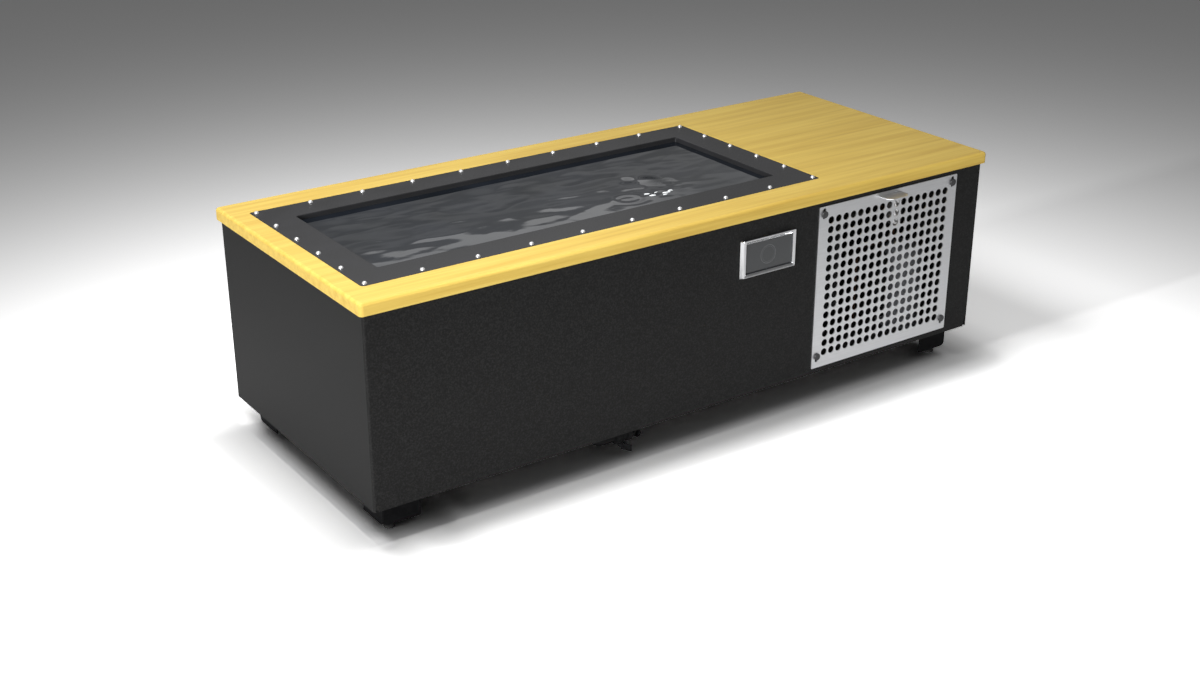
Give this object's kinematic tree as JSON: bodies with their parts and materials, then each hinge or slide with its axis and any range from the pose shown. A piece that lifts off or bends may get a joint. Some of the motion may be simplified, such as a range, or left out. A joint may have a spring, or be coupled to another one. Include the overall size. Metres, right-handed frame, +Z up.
{
  "type": "cold plunge tub",
  "caption": "Free-standing cold plunge tub: bamboo-topped sheet cabinet with a drop-in basin, touch display, perforated lift-off service panel, chiller bay and drain valve.",
  "frame": {"origin": "on the floor, under the centre of the overall box (the pull tab counts in its depth)", "axes": "+X along the tub towards the chiller bay, -Y to the front with the display and the perforated panel, +Z up"},
  "size_m": [2.2, 0.9262, 0.694],
  "materials": {
    "bamboo": "laminated bamboo strips, satin oil",
    "basin": "glossy dark grey moulded basin",
    "powder_coat": "charcoal powder coat, fine texture",
    "black_steel": "black paint, satin",
    "deck": "black-faced plywood board",
    "foot_rubber": "black, matte",
    "satin_aluminium": "satin, perforated",
    "dark_screw": "dark grey, satin",
    "chrome": "polished",
    "screen_glass": "dark touch glass, glossy",
    "black_plastic": "moulded, satin",
    "grey_plastic": "moulded, satin",
    "filter_media": "pleated filter paper",
    "foam": "insulation board, matte",
    "grey_paint": "grey paint, satin",
    "condenser_fins": "thin fins between end plates",
    "hose_rubber": "black hose, matte",
    "copper": "bare copper tube"
  },
  "bodies": {
    "tub": {"wood_top": "bamboo", "tub_liner": "basin", "cabinet_shell": "powder_coat", "back_panel": "powder_coat", "divider_panel": "black_steel", "suction_accumulator": "black_steel", "fan_motor": "black_steel", "foot_bracket_front_left": "black_steel", "foot_bracket_front_right": "black_steel", "foot_bracket_back_left": "black_steel", "foot_bracket_back_right": "black_steel", "base_deck": "deck", "display_bezel": "chrome", "filter_drier": "chrome", "display_glass": "screen_glass", "display_housing": "black_plastic", "fan_shroud": "black_plastic", "circulation_pump": "black_plastic", "filter_head": "black_plastic", "heat_exchanger": "black_plastic", "power_inlet": "black_plastic", "drain_pipe": "black_plastic", "drain_valve": "black_plastic", "control_box": "grey_plastic", "suction_fitting": "grey_plastic", "return_jet": "grey_plastic", "drain_bulkhead": "grey_plastic", "drain_outlet": "grey_plastic", "foam_floor": "foam", "foam_front": "foam", "foam_back": "foam", "foam_left": "foam", "foam_right": "foam", "compressor": "grey_paint", "condenser": "condenser_fins", "suction_hose": "hose_rubber", "pump_hose": "hose_rubber", "filter_hose": "hose_rubber", "return_hose": "hose_rubber", "discharge_line": "copper", "liquid_line": "copper", "expansion_line": "copper", "suction_line": "copper"},
    "grille": {"grille_panel": "satin_aluminium", "pull_tab": "satin_aluminium"},
    "fan": {"fan_blades": "black_plastic"},
    "drain_handle": {"drain_lever": "black_plastic"},
    "filter_bowl": {"filter_sump": "grey_plastic", "filter_cartridge": "filter_media"},
    "foot_front_left": {"levelling_foot_front_left": "foot_rubber"},
    "foot_front_right": {"levelling_foot_front_right": "foot_rubber"},
    "foot_back_left": {"levelling_foot_back_left": "foot_rubber"},
    "foot_back_right": {"levelling_foot_back_right": "foot_rubber"},
    "screw_upper_left": {"thumb_screw_upper_left": "dark_screw"},
    "screw_upper_right": {"thumb_screw_upper_right": "dark_screw"},
    "screw_lower_left": {"thumb_screw_lower_left": "dark_screw"},
    "screw_lower_right": {"thumb_screw_lower_right": "dark_screw"}
  },
  "joints": [
    {"name": "grille_lift", "type": "slide", "parent": "tub", "child": "grille", "axis": [0, 0, 1], "range_m": [0, 0.008]},
    {"name": "fan_spin", "type": "hinge", "parent": "tub", "child": "fan", "pos_m": [0.856, 0.3224, 0.3006], "axis": [0, 1, 0], "continuous": true},
    {"name": "drain_turn", "type": "hinge", "parent": "tub", "child": "drain_handle", "pos_m": [-0.268, -0.36685, 0.0755], "axis": [0, 0, 1], "range_deg": [0, 90]},
    {"name": "filter_bowl_turn", "type": "hinge", "parent": "tub", "child": "filter_bowl", "pos_m": [0.543, -0.30085, 0.4], "axis": [0, 0, -1], "range_deg": [0, 720]},
    {"name": "screw_upper_left_turn", "type": "hinge", "parent": "tub", "child": "screw_upper_left", "pos_m": [0.429, -0.41585, 0.618], "axis": [0, 1, 0], "continuous": true},
    {"name": "screw_upper_right_turn", "type": "hinge", "parent": "tub", "child": "screw_upper_right", "pos_m": [0.961, -0.41585, 0.618], "axis": [0, 1, 0], "continuous": true},
    {"name": "screw_lower_left_turn", "type": "hinge", "parent": "tub", "child": "screw_lower_left", "pos_m": [0.429, -0.41585, 0.159], "axis": [0, 1, 0], "continuous": true},
    {"name": "screw_lower_right_turn", "type": "hinge", "parent": "tub", "child": "screw_lower_right", "pos_m": [0.961, -0.41585, 0.159], "axis": [0, 1, 0], "continuous": true},
    {"name": "foot_front_left_turn", "type": "hinge", "parent": "tub", "child": "foot_front_left", "pos_m": [-1.0085, -0.33535, 0], "axis": [0, 0, 1], "continuous": true},
    {"name": "foot_front_right_turn", "type": "hinge", "parent": "tub", "child": "foot_front_right", "pos_m": [1.0085, -0.33535, 0], "axis": [0, 0, 1], "continuous": true},
    {"name": "foot_back_left_turn", "type": "hinge", "parent": "tub", "child": "foot_back_left", "pos_m": [-1.0085, 0.37165, 0], "axis": [0, 0, 1], "continuous": true},
    {"name": "foot_back_right_turn", "type": "hinge", "parent": "tub", "child": "foot_back_right", "pos_m": [1.0085, 0.37165, 0], "axis": [0, 0, 1], "continuous": true}
  ]
}
